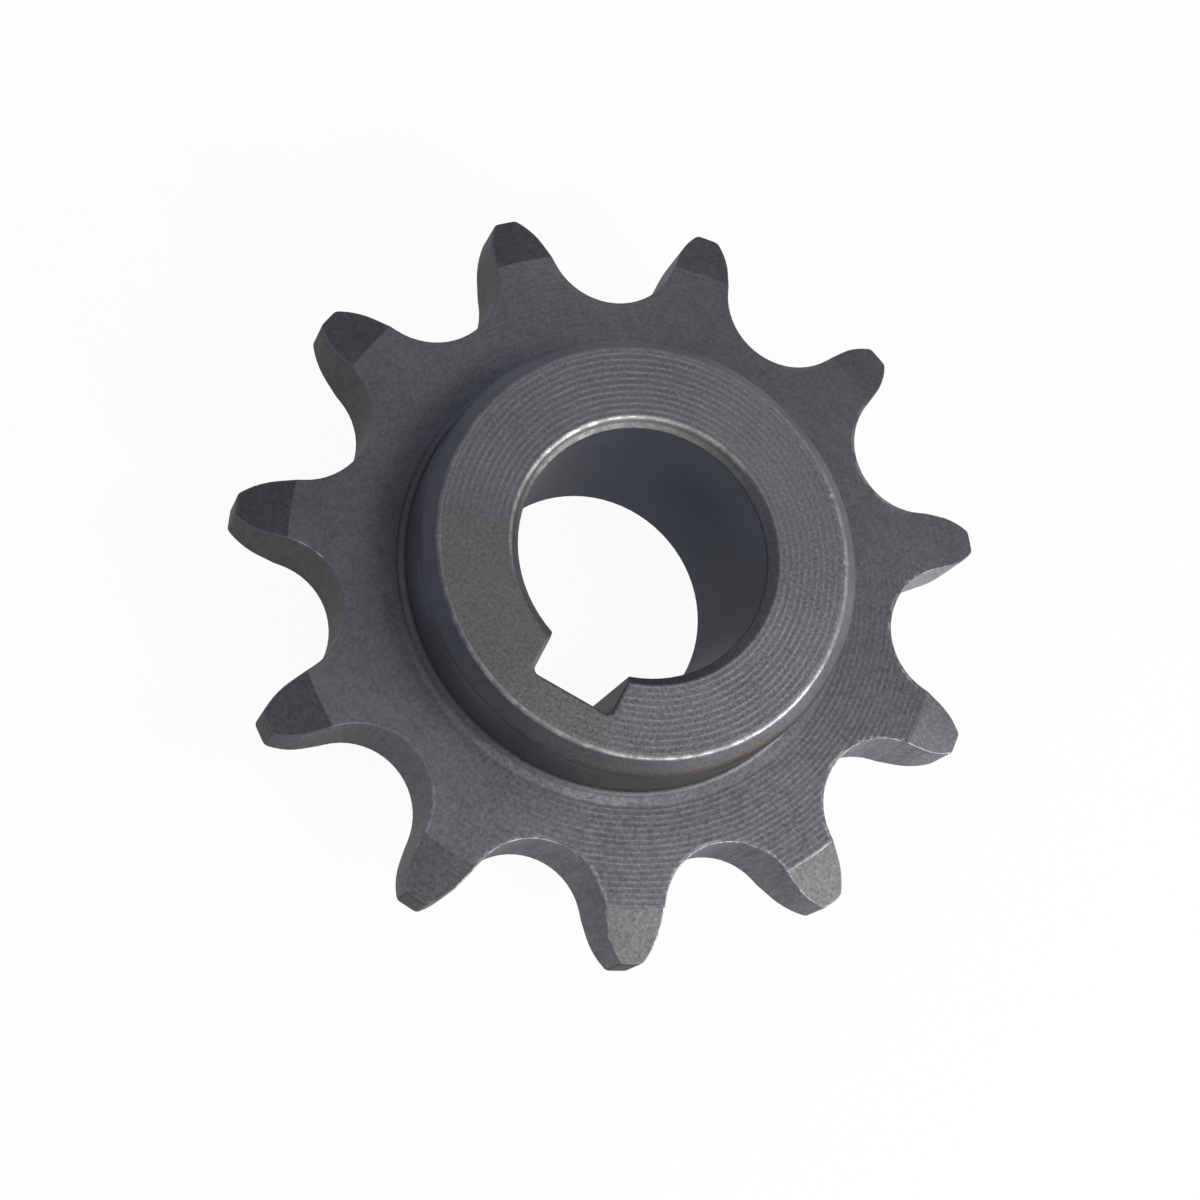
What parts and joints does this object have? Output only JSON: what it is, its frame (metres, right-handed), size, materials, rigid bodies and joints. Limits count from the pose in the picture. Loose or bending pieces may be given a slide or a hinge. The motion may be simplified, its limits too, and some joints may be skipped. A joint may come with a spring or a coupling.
{
  "type": "chain sprocket",
  "caption": "Small roller-chain sprocket: a toothed plate with bevelled tips, a short turned hub on each side and a bore with a keyway.",
  "frame": {"origin": "on the axis of the bore, halfway through the thickness of the teeth, where the chain runs", "axes": "+Z along the bore, out of the slightly longer hub; the keyway faces -Y"},
  "size_m": [0.0488, 0.0488, 0.0157],
  "materials": {
    "steel": "turned, darkened and oiled steel, worn bright along its edges"
  },
  "bodies": {
    "root": {"sprocket": "steel"}
  },
  "joints": []
}
